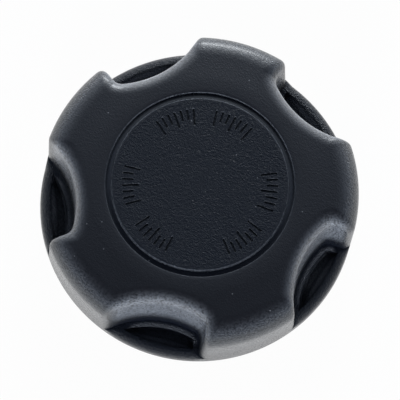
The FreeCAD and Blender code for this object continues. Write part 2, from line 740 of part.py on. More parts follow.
def makeScrews():
    body = newBody("housing_screws")
    sketch = newSketch(body, "screw_profile", "XZ_Plane")
    headTop = flangeLow + size("screwHeadHeight")
    end = flangeLow + size("screwLength")
    shank = screwCircle + size("screwRadius")
    polygon(sketch, [
        (screwCircle, flangeLow), (screwCircle + size("screwHead"), flangeLow), (shank, headTop),
        (shank, end - size("screwRadius") / 2), (screwCircle + size("screwRadius") / 2, end),
        (screwCircle, end)])
    axis = sketch.addGeometry(Part.LineSegment(
        FreeCAD.Vector(screwCircle.number, end.number, 0),
        FreeCAD.Vector(screwCircle.number, flangeLow.number, 0)), True)
    sketch.addConstraint(Sketcher.Constraint("Coincident", axis, 1, 5, 1))
    sketch.addConstraint(Sketcher.Constraint("Coincident", axis, 2, 0, 1))
    screw = body.newObject("PartDesign::Revolution", "screw")
    screw.Profile = sketch
    screw.ReferenceAxis = (sketch, ["Axis0"])
    screw.Angle = 360
    body.Tip = screw
    doc.recompute()
    repeated(body, "screws", screw, size("screwCount"))
    return body


def makeCover():
    body = newBody("housing_cover")
    spigot = barrelInner - size("spigotGap")
    spigotLow = barrelTop - size("coverSpigot")
    turned(body, "lid", [[
        (size("coverHole"), barrelTop), (spigot - size("spigotWall"), barrelTop),
        (spigot - size("spigotWall"), spigotLow), (spigot, spigotLow), (spigot, barrelTop),
        (size("barrelRadius"), barrelTop), (size("barrelRadius"), coverTop),
        (size("coverHole"), coverTop)]])
    vent = drilled(body, "vent", [(size("ventCircle"), 0, size("ventRadius"))], barrelTop,
                   size("coverThickness"))
    repeated(body, "vents", vent, size("coverVents"))
    return body


def makeFilter():
    body = newBody("dust_filter")
    outer = size("barrelRadius") - size("filterInset")
    inner = size("coverHole") + size("filterInset")
    turned(body, "foam", [ringProfile(inner, outer, coverTop, roofLow - size("filterGap"))])
    return body


def makeScreen():
    body = newBody("fuel_screen")
    outer = size("bafflePocket") - size("bafflePlay")
    low = floorLow - size("screenThickness")
    turned(body, "mesh_disc", [ringProfile(zero, outer, low, floorLow)])
    return body


def makeBaffle():
    body = newBody("splash_baffle")
    outer = size("bafflePocket") - size("bafflePlay")
    top = floorLow - size("screenThickness")
    low = top - size("baffleThickness")
    turned(body, "plate", [ringProfile(zero, outer, low, top)])
    sketch = newSketch(body, "slot_outline", "XY_Plane", low)
    half = size("baffleSlotWidth") / 2
    inner = size("baffleSlotInner")
    outerEnd = inner + size("baffleSlotLength")
    polygon(sketch, [(inner, zero - half), (outerEnd, zero - half), (outerEnd, half),
                     (inner, half)])
    slot = body.newObject("PartDesign::Pocket", "slot")
    slot.Profile = sketch
    slot.Reversed = True
    bind(slot, "Length", size("baffleThickness"))
    body.Tip = slot
    doc.recompute()
    repeated(body, "slots", slot, size("baffleSlots"))
    return body


# Pressure valve and vacuum valve

def makePlate():
    body = newBody("pressure_plate")
    bore = size("stemRadius") + size("stemGap")
    edge = barrelInner - size("plateGap")
    turned(body, "disc", [[
        (bore, plateLow), (edge, plateLow), (edge, plateTop), (size("collarRadius"), plateTop),
        (size("collarRadius"), collarTop), (bore, collarTop)]])
    slot = drilled(body, "edge_slot", [(edge, 0, size("slotRadius"))], plateLow,
                   size("plateThickness"))
    repeated(body, "edge_slots", slot, size("plateSlots"))
    breather = drilled(body, "breather", [(size("breatherCircle"), 0, size("breatherRadius"))],
                       plateLow, size("plateThickness"))
    repeated(body, "breathers", breather, size("breatherCount"))
    return body


def makeSeatSeal():
    body = newBody("seat_seal")
    turned(body, "rubber", [ringProfile(size("sealInner"), size("sealOuter"), seatTop, plateLow)])
    breather = drilled(body, "breather_hole", [(size("breatherCircle"), 0, size("breatherRadius"))],
                       seatTop, size("sealThickness"))
    repeated(body, "breather_holes", breather, size("breatherCount"))
    return body


def makePoppet():
    body = newBody("vacuum_poppet")
    low = seatTop - size("poppetThickness")
    turned(body, "poppet", [[
        (zero, low), (size("poppetRadius"), low), (size("poppetRadius"), seatTop),
        (size("stemRadius"), seatTop), (size("stemRadius"), stemEnd), (zero, stemEnd)]])
    return body


def makeClip():
    body = newBody("stem_clip")
    turned(body, "clip", [ringProfile(size("stemRadius"), size("clipRadius"), clipLow, clipTop)])
    return body


pieces = [
    makeGrip(),
    makeSnapRing(),
    makeGlideWasher(),
    makeWaveSpring(),
    makeRatchetRing(),
    makeClosure(),
    makeNeckGasket(),
    makeHousing(),
    makeHousingSeal(),
    makeScrews(),
    makeCover(),
    makeFilter(),
    makeScreen(),
    makeBaffle(),
    makePlate(),
    makeSeatSeal(),
    coilSpring("pressure_spring", size("pressureCoil"), size("pressureWire"),
               plateTop, barrelTop, size("pressureTurns")),
    makePoppet(),
    makeClip(),
    coilSpring("vacuum_spring", size("vacuumCoil"), size("vacuumWire"),
               collarTop, clipLow, size("vacuumTurns")),
]
doc.recompute()

# Every object has to be sound before anything is written
for item in doc.Objects:
    if "Invalid" in item.State or "Error" in item.State:
        raise RuntimeError(f"{item.Label} failed: {item.State}")
for piece in pieces:
    if piece.Shape.isNull() or not piece.Shape.isValid():
        raise RuntimeError(f"{piece.Label} has no valid shape")

os.makedirs("parts", exist_ok=True)
for piece in pieces:
    piece.Shape.exportStep(os.path.join("parts", f"{piece.Label}.step"))
    print(f"{piece.Label}: {len(piece.Shape.Solids)} solid(s), {piece.Shape.Volume:.1f} mm3")
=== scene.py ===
import json
import math

import bmesh
import bpy
from mathutils import Matrix, Vector


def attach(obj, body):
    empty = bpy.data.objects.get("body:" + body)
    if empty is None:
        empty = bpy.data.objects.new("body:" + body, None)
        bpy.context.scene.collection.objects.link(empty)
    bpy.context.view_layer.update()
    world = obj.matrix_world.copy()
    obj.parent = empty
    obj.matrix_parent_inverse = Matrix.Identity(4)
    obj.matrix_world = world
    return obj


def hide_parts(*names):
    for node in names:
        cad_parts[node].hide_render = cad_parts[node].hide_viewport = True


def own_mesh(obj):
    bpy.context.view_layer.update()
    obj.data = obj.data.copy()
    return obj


# Fuel filler cap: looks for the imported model. Lengths in the tables are millimetres,
# angles degrees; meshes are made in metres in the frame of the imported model.

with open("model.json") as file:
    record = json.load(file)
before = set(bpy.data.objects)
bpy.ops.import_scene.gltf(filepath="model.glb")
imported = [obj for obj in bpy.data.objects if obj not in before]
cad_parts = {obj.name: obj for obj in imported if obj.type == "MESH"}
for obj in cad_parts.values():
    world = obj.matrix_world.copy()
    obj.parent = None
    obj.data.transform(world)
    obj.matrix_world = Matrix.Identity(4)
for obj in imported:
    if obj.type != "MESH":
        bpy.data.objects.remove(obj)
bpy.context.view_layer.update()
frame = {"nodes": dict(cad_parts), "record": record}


mm = 0.001
scene = bpy.context.scene
print("frame loaded:", len(frame["nodes"]), "nodes")


class Values(dict):
    # A dictionary of changeable values whose entries also read as attributes
    def __getattr__(self, name):
        return self[name]


# Node helpers

class Number:
    # A number socket that takes part in Python expressions
    def __init__(self, tree, socket):
        self.tree = tree
        self.socket = socket

    def math(self, operation, *others):
        node = self.tree.node("ShaderNodeMath", {"operation": operation}, self, *others)
        return Number(self.tree, node.outputs[0])

    def __add__(self, other):
        return self.math("ADD", other)

    def __sub__(self, other):
        return self.math("SUBTRACT", other)

    def __mul__(self, other):
        return self.math("MULTIPLY", other)

    def __rsub__(self, other):
        return (self * -1) + other

    def clamped(self):
        return self.math("MINIMUM", 1).math("MAXIMUM", 0)

    def span(self, low, high):
        # Maps 0..1 to low..high
        return self * (high - low) + low


class Tree:
    # A node tree whose nodes are made with their settings and links in one call
    def __init__(self, tree):
        self.nodes = tree.nodes
        self.links = tree.links

    def connect(self, socket, item):
        item = item.socket if isinstance(item, Number) else item
        if isinstance(item, bpy.types.NodeSocket):
            self.links.new(item, socket)
        else:
            socket.default_value = item

    def node(self, kind, settings=None, *inOrder, **byName):
        node = self.nodes.new(kind)
        for key, value in (settings or {}).items():
            setattr(node, key, value)
        for socket, item in zip(node.inputs, inOrder):
            self.connect(socket, item)
        for key, item in byName.items():
            self.connect(node.inputs[key], item)
        return node


class Finish(Tree):
    # One material: its tree, its Object coordinates and its Principled shader
    def __init__(self, slot, settings):
        self.material = bpy.data.materials.new(camelCase(slot))
        self.material.use_nodes = True
        super().__init__(self.material.node_tree)
        self.shader = self.nodes["Principled BSDF"]
        self.link(settings)
        self.place = self.node("ShaderNodeTexCoord").outputs["Object"]

    def link(self, sockets):
        for key, item in sockets.items():
            self.connect(self.shader.inputs[key], item)

    def noise(self, scale, detail=2.0, roughness=0.5, place=None):
        node = self.node("ShaderNodeTexNoise", Vector=place or self.place, Scale=scale,
                         Detail=detail, Roughness=roughness)
        return Number(self, node.outputs[0])

    def cells(self, scale):
        node = self.node("ShaderNodeTexVoronoi", Vector=self.place, Scale=scale)
        return Number(self, node.outputs["Distance"])

    def parts(self, vector):
        node = self.node("ShaderNodeSeparateXYZ", Vector=vector)
        return [Number(self, socket) for socket in node.outputs]

    def layered(self, colour, *layers):
        # Colours laid over the first one, each with its own share
        for share, above in layers:
            node = self.node("ShaderNodeMix", {"data_type": "RGBA"}, share)
            for socket, item in zip(node.inputs[6:8], (colour, above)):
                self.connect(socket, (*item, 1) if isinstance(item, tuple) else item)
            colour = node.outputs[2]
        return colour

    def bump(self, height, strength, depth):
        node = self.node("ShaderNodeBump", Height=height, Strength=strength, Distance=depth * mm)
        return node.outputs[0]


def camelCase(slot):
    first, *rest = slot.split("_")
    return first + "".join(word.title() for word in rest)


# Mesh helpers

def polar(radius, angle, height):
    return (radius * math.cos(angle), radius * math.sin(angle), height)


def angleOf(point):
    return math.atan2(point[1], point[0])


def mix(first, second, share):
    return first + (second - first) * share


def mixPoints(first, second, share):
    return tuple(mix(a, b, share) for a, b in zip(first, second))


def evenly(first, last, steps):
    return [mix(first, last, k / steps) for k in range(steps + 1)]


def arc(radius, height, reach, turns):
    # Points of a section (radius, height) round a centre, turns in degrees from outwards
    return [(radius + reach * math.cos(math.radians(turn)),
             height + reach * math.sin(math.radians(turn))) for turn in turns]


def turnedRows(section, angles):
    return [[polar(radius, angle, height) for angle in angles] for radius, height in section]


class Shell:
    # Collects grids of points in millimetres; equal points are merged at the end
    def __init__(self):
        self.points = []
        self.faces = []

    def grid(self, rows):
        start = len(self.points)
        width = len(rows[0])
        for row in rows:
            self.points.extend(row)
        for i in range(len(rows) - 1):
            for j in range(width - 1):
                a = start + i * width + j
                self.faces.append((a, a + 1, a + width + 1, a + width))

    def cap(self, ring):
        # Closes a ring, whose last point repeats the first
        start = len(self.points)
        self.points.extend(ring[:-1])
        self.faces.append(tuple(range(start, len(self.points))))

    def tube(self, rings):
        self.grid(rings)
        self.cap(rings[0])
        self.cap(rings[-1])

    def item(self, name, sharpAngle=28.0, turn=True):
        work = bmesh.new()
        corners = [work.verts.new([c * mm for c in point]) for point in self.points]
        for face in self.faces:
            work.faces.new([corners[i] for i in face])
        bmesh.ops.remove_doubles(work, verts=work.verts[:], dist=0.002 * mm)
        bmesh.ops.dissolve_degenerate(work, edges=work.edges[:], dist=0.0005 * mm)
        if turn:
            bmesh.ops.recalc_face_normals(work, faces=work.faces[:])
        data = meshFrom(work, name)
        smoothed(data, sharpAngle)
        return addObject(name, data)


def meshFrom(work, name):
    data = bpy.data.meshes.new(name)
    work.to_mesh(data)
    work.free()
    return data


def smoothed(data, sharpAngle):
    data.shade_smooth()
    data.set_sharp_from_angle(angle=math.radians(sharpAngle))


def addObject(name, data):
    item = bpy.data.objects.new(name, data)
    scene.collection.objects.link(item)
    return item


def joined(name, items, seal=False):
    # One object from several; sealed, what meets is merged and the faces turned outwards
    work = bmesh.new()
    for item in items:
        work.from_mesh(item.data)
        bpy.data.objects.remove(item)
    if seal:
        bmesh.ops.remove_doubles(work, verts=work.verts[:], dist=0.002 * mm)
        bmesh.ops.recalc_face_normals(work, faces=work.faces[:])
    return addObject(name, meshFrom(work, name))


def openEdges(item):
    work = bmesh.new()
    work.from_mesh(item.data)
    count = sum(1 for edge in work.edges if len(edge.link_faces) != 2)
    work.free()
    return count


def evaluatedMesh(item):
    bpy.context.view_layer.update()
    state = bpy.context.evaluated_depsgraph_get()
    return bpy.data.meshes.new_from_object(item.evaluated_get(state))


# Geometry Nodes: copies of a mesh turned about the axis

def turnedTree():
    group = bpy.data.node_groups.new("turnedCopies", "GeometryNodeTree")
    for label, kind in (("Geometry", "Geometry"), ("Count", "Int"), ("Step angle", "Float"),
                        ("Material", "Material")):
        group.interface.new_socket(label, in_out="INPUT", socket_type="NodeSocket" + kind)
    group.interface.new_socket("Geometry", in_out="OUTPUT", socket_type="NodeSocketGeometry")
    tree = Tree(group)
    entry = tree.node("NodeGroupInput").outputs
    index = tree.node("GeometryNodeInputIndex").outputs[0]
    turn = Number(tree, index) * entry["Step angle"]
    angles = tree.node("ShaderNodeCombineXYZ", Z=turn).outputs[0]
    points = tree.node("GeometryNodeMeshLine", {"mode": "OFFSET"}, Count=entry["Count"],
                       Offset=(0, 0, 0)).outputs[0]
    copies = tree.node("GeometryNodeInstanceOnPoints", Points=points,
                       Instance=entry["Geometry"], Rotation=angles).outputs[0]
    real = tree.node("GeometryNodeRealizeInstances", None, copies).outputs[0]
    coated = tree.node("GeometryNodeSetMaterial", Geometry=real, Material=entry["Material"])
    tree.node("NodeGroupOutput", None, coated.outputs[0])
    return group


turnedCopies = turnedTree()


def turnedRound(item, count, slot, step=None):
    # Runs the node tree on the object and leaves a plain mesh
    modifier = item.modifiers.new("nodes", "NODES")
    modifier.node_group = turnedCopies
    inputs = {"Count": count, "Step angle": math.radians(step or 360 / count),
              "Material": finishes[slot].material}
    for socket in turnedCopies.interface.items_tree:
        if socket.name in inputs:
            modifier[socket.identifier] = inputs[socket.name]
    data = evaluatedMesh(item)
    item.modifiers.remove(modifier)
    data.name = item.data.name
    item.data = data
    return item


# Materials

innerLook = Values({"patchScale": 90.0, "metalPatchScale": 220.0, "pitShare": 0.6, "bump": 0.5})


def mouldedPlastic(slot, look):
    finish = Finish(slot, {"IOR": 1.5, "Coat Weight": look.coat, "Coat Roughness": 0.3})
    patches = finish.noise(innerLook.patchScale, 3.0)
    grain = finish.noise(look.grainScale, 2.0, 0.6)
    pits = finish.cells(look.grainScale * innerLook.pitShare)
    relief = grain * 0.7 + pits * 0.5
    finish.link({"Base Color": finish.layered(look.base, (patches, look.dusty)),
                 "Roughness": (patches * 0.5 + grain * 0.5).span(*look.roughness),
                 "Normal": finish.bump(relief, innerLook.bump, look.grainDepth)})
    return finish


def metal(slot, look):
    # Drawn or turned metal: fine lines along the stretched direction, darker in the lines
    finish = Finish(slot, {"Metallic": 1.0})
    stretched = finish.node("ShaderNodeMapping", Vector=finish.place, Scale=look.stretch)
    lines = finish.noise(look.lineScale, 3.0, 0.6, stretched.outputs[0])
    patches = finish.noise(innerLook.metalPatchScale, 2.0)
    tone = (lines * 0.6 + patches * 0.4).clamped()
    finish.link({"Base Color": finish.layered(look.dark, (tone, look.light)),
                 "Roughness": tone.span(*look.roughness),
                 "Normal": finish.bump(lines, look.strength, look.depth)})
    return finish


def openFoam(slot, look):
    finish = Finish(slot, {"Roughness": 0.95})
    cells = finish.cells(look.cellScale)
    smaller = finish.cells(look.cellScale * 2.1)
    walls = (cells * 0.7 + smaller * 0.5).clamped()
    # Painted shade: the pore centres take the dark colour, standing in for the shade inside the
    # open cells
    finish.link({"Base Color": finish.layered(look.hollow, (walls, look.skin)),
                 "Normal": finish.bump(walls, 0.9, look.depth)})
    return finish


gripLook = Values({
    "base": (0.004, 0.0055, 0.0095), "pale": (0.006, 0.0075, 0.013),
    "star": (0.009, 0.009, 0.011), "ledge": (0.075, 0.08, 0.092),
    # wall and outerWall: pale grain colours of the steep walls, made pale as painted sheen for
    # the light the walls reflect
    "wall": (0.17, 0.185, 0.213), "outerWall": (0.045, 0.048, 0.053),
    # Painted light: the colour for the groove's outer wall lifts its shade. Painted shade: the
    # near-black colour for the inside of the engraved strokes.
    "recess": (0.07, 0.075, 0.085), "mark": (0.0015, 0.002, 0.004), "lip": (0.03, 0.034, 0.042),
    "grainScale": 1500.0, "fineScale": 3000.0, "grainDepth": 0.4, "strength": 0.8,
    "coat": 0.9, "discCoat": 0.1, "wallCoat": 0.35,
    "discGrain": 1.0, "starGrain": 0.5, "wallGrain": 2.2, "grooveRoughness": 0.18,
    "roughness": (0.33, 0.45), "coatRoughness": 0.27, "coatIOR": 1.5, "wallRoughness": 0.12,
    "speckScale": 210.0, "speckSize": 0.045, "speck": (0.22, 0.23, 0.25), "patchScale": 70.0,
})
# Heights and radii between which the zones of the grip pass into one another
gripZones = {
    # wallUp: below it the walls keep the dark base colour, painted shade at their foot
    "top": (25.5, 27.4), "low": (4.0, 4.5), "wallUp": (8.0, 14.0), "foot": (5.0, 12.0),
    "recessUp": (2.6, 3.0), "ledgeLow": (2.9, 3.3), "ledgeHigh": (3.62, 3.85),
    # markLow to markHigh: the depth of the strokes' painted shade
    "markLow": (27.9, 28.2), "markHigh": (28.6, 28.9), "disc": (26.9, 27.2),
    "grooveIn": (27.0, 27.3), "grooveOut": (28.8, 29.0), "star": (28.6, 29.4),
    # lipIn to lipOut: the band of painted light on the groove's outer wall
    "lipIn": (28.5, 28.7), "lipOut": (29.0, 29.2), "outside": (45.5, 48.0),
}


def past(value, zone):
    # 0 below the zone, 1 above it
    low, high = gripZones[zone]
    return ((value - low * mm) * (1 / ((high - low) * mm))).clamped()


def gripPlastic(slot, look):
    # Coarse grain on the disc, finer on the star, speckled walls, smooth groove, rough recesses.
    # The pale wall speckles are also painted sheen, left dark at the walls' foot as painted
    # shade; the groove's outer wall has painted light and the strokes painted shade.
    finish = Finish(slot, {"IOR": 1.62, "Specular Tint": (0.9, 0.96, 1.0, 1.0),
                           "Coat IOR": look.coatIOR, "Coat Roughness": look.coatRoughness})
    x, y, height = finish.parts(finish.place)
    radius = (x * x + y * y).math("SQRT")
    facing = finish.parts(finish.node("ShaderNodeNewGeometry").outputs["Normal"])[2]
    steep = 1 - facing.math("ABSOLUTE")
    onTop = past(height, "top")
    onDisc = 1 - past(radius, "disc")
    inGroove = (past(radius, "grooveIn") - past(radius, "grooveOut")).clamped() * onTop
    coarse = finish.noise(look.grainScale, 2.0, 0.55)
    fine = finish.noise(look.fineScale, 1.0, 0.5)
    patches = finish.noise(look.patchScale, 3.0)
    amount = (onDisc * onTop * (look.discGrain - look.starGrain)
              + onTop * (look.starGrain - look.wallGrain) + look.wallGrain)
    amount = amount * (1 - inGroove) + (1 - past(height, "low")) * 0.5
    # Painted light on the groove's outer wall, lifting the shade under the crown's edge
    lip = steep * onTop * past(radius, "lipIn") * (1 - past(radius, "lipOut"))
    # Painted sheen: pale grain patches on the steep walls, left off below wallUp as painted shade
    # at the foot
    wallGrainAndSheen = (steep * 1.7).clamped() * past(height, "wallUp") * (coarse * 3.4 - 0.95).clamped()
    outside = past(radius, "outside")
    level = (1 - steep) * (1 - outside)
    inRecess = (1 - past(height, "recessUp")) * level * (coarse * 2.4 - 0.5).clamped()
    onLedge = past(height, "ledgeLow") * (1 - past(height, "ledgeHigh")) * level
    isSpeck = ((look.speckSize - finish.cells(look.speckScale)) * 60).clamped() * onTop
    # The inside of the strokes: painted shade in its colour, and no coat
    inStroke = onDisc * (past(height, "markLow") - past(height, "markHigh"))
    base = finish.layered(
        look.base, ((coarse * 1.6 - 0.3).clamped() * amount.clamped(), look.pale),
        (onTop * past(radius, "star"), look.star), (lip.clamped(), look.lip),
        ((wallGrainAndSheen * outside).clamped(), look.outerWall),
        ((wallGrainAndSheen * (1 - outside)).clamped(), look.wall), (inRecess, look.recess),
        (onLedge, look.ledge), (isSpeck, look.speck), (inStroke.clamped(), look.mark))
    roughness = (patches * 0.6 + fine * 0.4).span(*look.roughness)
    roughness = roughness - inGroove * (look.roughness[0] - look.grooveRoughness)
    foot = (1 - outside) * (1 - past(height, "foot"))
    coat = (1 - foot) * look.wallCoat + onTop * (look.coat - look.wallCoat)
    coat = coat - onDisc * onTop * (look.coat - look.discCoat)
    finish.link({"Base Color": base,
                 "Roughness": roughness - steep.clamped() * look.wallRoughness,
                 "Coat Weight": (coat * (1 - inStroke)).clamped(),
                 "Normal": finish.bump((coarse * 0.75 + fine * 0.35) * amount,
                                       look.strength, look.grainDepth)})
    return finish


finishTable = {
    "grip_plastic": (gripPlastic, gripLook),
    "closure_plastic": (mouldedPlastic, {
        "base": (0.017, 0.0175, 0.0195), "dusty": (0.03, 0.03, 0.031), "grainScale": 900.0,
        "grainDepth": 0.05, "roughness": (0.3, 0.45), "coat": 0.3}),
    "acetal": (mouldedPlastic, {
        "base": (0.66, 0.64, 0.58), "dusty": (0.74, 0.72, 0.66), "grainScale": 700.0,
        "grainDepth": 0.03, "roughness": (0.28, 0.4), "coat": 0.1}),
    "nitrile_rubber": (mouldedPlastic, {
        "base": (0.012, 0.012, 0.013), "dusty": (0.026, 0.026, 0.026), "grainScale": 1600.0,
        "grainDepth": 0.08, "roughness": (0.55, 0.75), "coat": 0.0}),
    "valve_plastic": (mouldedPlastic, {
        "base": (0.28, 0.29, 0.3), "dusty": (0.35, 0.36, 0.37), "grainScale": 800.0,
        "grainDepth": 0.04, "roughness": (0.32, 0.46), "coat": 0.1}),
    "spring_steel": (metal, {
        "lineScale": 900.0, "stretch": (1, 1, 6), "dark": (0.34, 0.345, 0.36),
        "light": (0.62, 0.625, 0.64), "roughness": (0.2, 0.38), "strength": 0.3, "depth": 0.02}),
    "valve_metal": (metal, {
        "lineScale": 1400.0, "stretch": (1, 1, 0.2), "dark": (0.58, 0.585, 0.6),
        "light": (0.78, 0.785, 0.8), "roughness": (0.26, 0.42), "strength": 0.3, "depth": 0.02}),
    "screen_steel": (metal, {
        "lineScale": 2200.0, "stretch": (1, 1, 1), "dark": (0.42, 0.425, 0.43),
        "light": (0.66, 0.665, 0.67), "roughness": (0.28, 0.45), "strength": 0.25,
        "depth": 0.01}),
    "filter_foam": (openFoam, {
        "cellScale": 1100.0, "depth": 0.5, "hollow": (0.05, 0.052, 0.056),
        "skin": (0.24, 0.25, 0.26)}),
}
finishes = {slot: make(slot, Values(look)) for slot, (make, look) in finishTable.items()}
slots = {part["node"]: part["material_slot"] for part in frame["record"]["subparts"]}
for nodeName, node in frame["nodes"].items():
    node.data.materials.clear()
    node.data.materials.append(finishes[slots[nodeName]].material)
print("materials:", len(finishes))


# Grip shell

grip = Values({
    "capRadius": 50.0, "topHeight": 29.0, "shoulderHeight": 27.3, "wallLean": 1.0,
    "crownDrop": 1.7, "crownStart": 30.5, "crownEase": 4.0, "shoulderRadius": 8.5,
    "notchBed": 39.2, "sweepRadius": 28.4, "sweepShift": 4.6, "cornerRadius": 2.6,
    "flankAngle": 15.0, "flankShift": 15.3, "draft": 3.8, "notchBlend": 4.9984,
    "outlineReach": 32.0, "lobeCorner": 2.2, "rimHeight": 4.0, "rimRound": 2.6,
    "rimRoundMost": 0.7, "rimWidth": 3.2, "ledgeWidth": 1.7, "ledgeFall": 0.5,
    "recessDepth": 2.3, "recessBlend": 0.7, "edgeSoft": 0.3, "floorSteps": 10,
    "floorBend": 1.15, "discRadius": 27.2, "grooveWidth": 1.7, "grooveDepth": 1.2,
    "grooveRound": 0.5, "grooveFall": 0.32, "grooveEdge": 0.15, "grooveNook": 0.2,
    "wall": 2.8, "pocketGap": 0.3, "roofLow": 26.0, "innerShoulder": 6.4,
    "hubOuter": 37.8, "hubBore": 34.8, "hubLow": 0.4, "snapLow": 1.2, "snapTop": 2.4,
    "snapBottom": 36.15, "footRound": 0.3, "ribThickness": 1.6, "ribAngle": 10.5,
    "ribLow": 4.0, "keyWidth": 4.0, "keyInner": 33.4, "keyLow": 19.9, "plateEase": 0.2,
    "plateSink": 0.5, "keyCount": 6, "lobes": 5,
})
gripSteps = Values({"crown": 30, "shoulder": 12, "wall": 7, "blend": 10, "lobe": 36, "rim": 6})
sector = 2 * math.pi / grip.lobes


class NotchOutline:
    # The plan of one finger notch: long sweep, corner, steep flank; places along it are
    # arc lengths from its innermost point, positive towards the flank
    def __init__(self, g):
        self.sweep, self.corner, self.reach = g.sweepRadius, g.cornerRadius, g.outlineReach
        lean = math.radians(g.flankAngle)
        self.middle = (g.notchBed + self.sweep, g.sweepShift)
        self.along = (math.cos(lean), math.sin(lean))
        self.across = (-math.sin(lean), math.cos(lean))
        backX = -self.corner * self.across[0]
        backY = (g.flankShift + (self.middle[0] - g.capRadius) * math.tan(lean)
                 - self.corner * self.across[1] - self.middle[1])
        half = backX * self.along[0] + backY * self.along[1]
        reach = backX ** 2 + backY ** 2 - (self.sweep - self.corner) ** 2
        slide = -half - math.sqrt(half ** 2 - reach)
        meet = (backX + slide * self.along[0], backY + slide * self.along[1])
        self.cornerMiddle = (self.middle[0] + meet[0], self.middle[1] + meet[1])
        self.meetAngle = angleOf(meet) % (2 * math.pi)
        self.flankTurn = angleOf(self.across)
        self.innerAngle = angleOf(self.middle) + math.pi
        self.sweepLength = self.sweep * (self.innerAngle - self.meetAngle)
        self.cornerLength = self.corner * (self.meetAngle - self.flankTurn)
        self.innermost = math.hypot(*self.middle) - self.sweep

    def at(self, along, grow):
        # Point and direction into the lobe
        angle, centre, radius = self.innerAngle - along / self.sweep, self.middle, self.sweep
        beyond = along - self.sweepLength
        if beyond > 0:
            angle = max(self.meetAngle - beyond / self.corner, self.flankTurn)
            centre, radius = self.cornerMiddle, self.corner
        run = max(beyond - self.cornerLength, 0.0)
        x, y, _ = polar(radius + grow, angle, 0)
        return ((centre[0] + x + run * self.along[0], centre[1] + y + run * self.along[1]),
                (math.cos(angle), math.sin(angle)))

    def alongAtRadius(self, radius, grow, side):
        low, high = 0.0, self.reach
        for _ in range(50):
            half = (low + high) / 2
            if math.hypot(*self.at(side * half, grow)[0]) < radius:
                low = half
            else:
                high = half
        return side * low


outline = NotchOutline(grip)


def wallRadius(height):
    return grip.capRadius - grip.wallLean * height / grip.shoulderHeight


def crownProfile(radius):
    # Height and slope of the top face: level, then easing into a gentle fall
    g = grip
    slope = g.crownDrop / (g.capRadius - g.wallLean - g.crownStart)
    beyond = radius - g.crownStart
    if beyond <= 0:
        return g.topHeight, 0.0
    if beyond < g.crownEase:
        share = beyond / g.crownEase
        return g.topHeight - slope * beyond * share / 2, slope * share
    return g.topHeight - slope * (beyond - g.crownEase / 2), slope


def outerProfile():
    # Rows of (radius, height, normal outwards, normal up) from the notches' start to the rim
    g = grip
    blend = g.shoulderRadius
    slope = crownProfile(g.capRadius)[1]
    tilt = math.atan(slope)
    run = g.wallLean / g.shoulderHeight
    lean = math.atan(run)
    base = g.topHeight + slope * (g.crownStart + g.crownEase / 2)
    middleZ = ((base - slope * (g.capRadius - blend / math.cos(lean)) - blend / math.cos(tilt))
               / (1 - slope * run))
    middleR = g.capRadius - run * middleZ - blend / math.cos(lean)
    draft = math.radians(g.draft)
    start = outline.innermost - g.notchBlend
    for _ in range(5):   # closes in on where the notches' round begins
        height, fall = crownProfile(start)
        ballZ = height - g.notchBlend * math.cos(math.atan(fall))
        grow = math.tan(draft) * (ballZ - g.rimHeight) + g.notchBlend / math.cos(draft)
        start = outline.innermost - grow + g.notchBlend * math.sin(math.atan(fall))
    rows = []
    for share in evenly(0, 1, gripSteps.crown):
        radius = mix(start, middleR + blend * math.sin(tilt), share ** 2)
        height, fall = crownProfile(radius)
        rows.append((radius, height, math.sin(math.atan(fall)), math.cos(math.atan(fall))))
    for angle in evenly(tilt, math.pi / 2 - lean, gripSteps.shoulder)[1:]:
        out, up = math.sin(angle), math.cos(angle)
        rows.append((middleR + blend * out, middleZ + blend * up, out, up))
    for height in evenly(rows[-1][1], g.rimHeight, gripSteps.wall)[1:]:
        rows.append((wallRadius(height), height, math.cos(lean), math.sin(lean)))
    return rows


def ballRadius(radius):
    # The round is small on the upright corners and grows towards the top face
    topRadius = grip.capRadius - grip.wallLean
    share = (topRadius - radius) / grip.shoulderRadius
    return mix(grip.lobeCorner, grip.notchBlend, min(max(share, 0.0), 1.0))


def blendStrip(profile, side):
    # For each profile row the round between the outer face and the notch wall: its points,
    # first on the outer face, last on the wall, and the place of the last along the outline
    draft = math.radians(grip.draft)
    strip = []
    for index, (radius, height, out, up) in enumerate(profile):
        ball = ballRadius(radius)
        ballZ = height - ball * up
        grow = math.tan(draft) * (ballZ - grip.rimHeight) + ball / math.cos(draft)
        along = outline.alongAtRadius(radius - ball * out, grow, side) if index else 0.0
        (x, y), way = outline.at(along, grow)
        first = Vector(polar(out, angleOf((x, y)), up))
        last = Vector((-way[0] * math.cos(draft), -way[1] * math.cos(draft), math.sin(draft)))
        between = first.angle(last)
        points = []
        for share in evenly(0, 1, gripSteps.blend):
            normal = (first * math.sin((1 - share) * between)
                      + last * math.sin(share * between)) / math.sin(between)
            point = Vector((x, y, ballZ)) + normal * ball
            if index == len(profile) - 1:
                point.z = grip.rimHeight
            points.append(tuple(point))
        strip.append((points, along))
    return strip


def wallGrid(low, high):
    # The drafted wall of a notch, between the last points of the two blend strips
    draft, rim = math.tan(math.radians(grip.draft)), grip.rimHeight
    corner = gripSteps.crown + gripSteps.shoulder // 2
    top = low[corner:0:-1] + high[:corner + 1]
    rows = []
    for left, right in zip(low[corner:], high[corner:]):
        share = (left[0][-1][2] - rim) / (low[corner][0][-1][2] - rim)
        row = []
        for points, along in top:
            place = (along - top[0][1]) / (top[-1][1] - top[0][1])
            z = mix(rim, points[-1][2], share)
            row.append((*outline.at(mix(left[1], right[1], place), draft * (z - rim))[0], z))
        row[0], row[-1] = left[0][-1], right[0][-1]
        rows.append(row)
    rows[0] = [points[-1] for points, _ in top]
    return rows


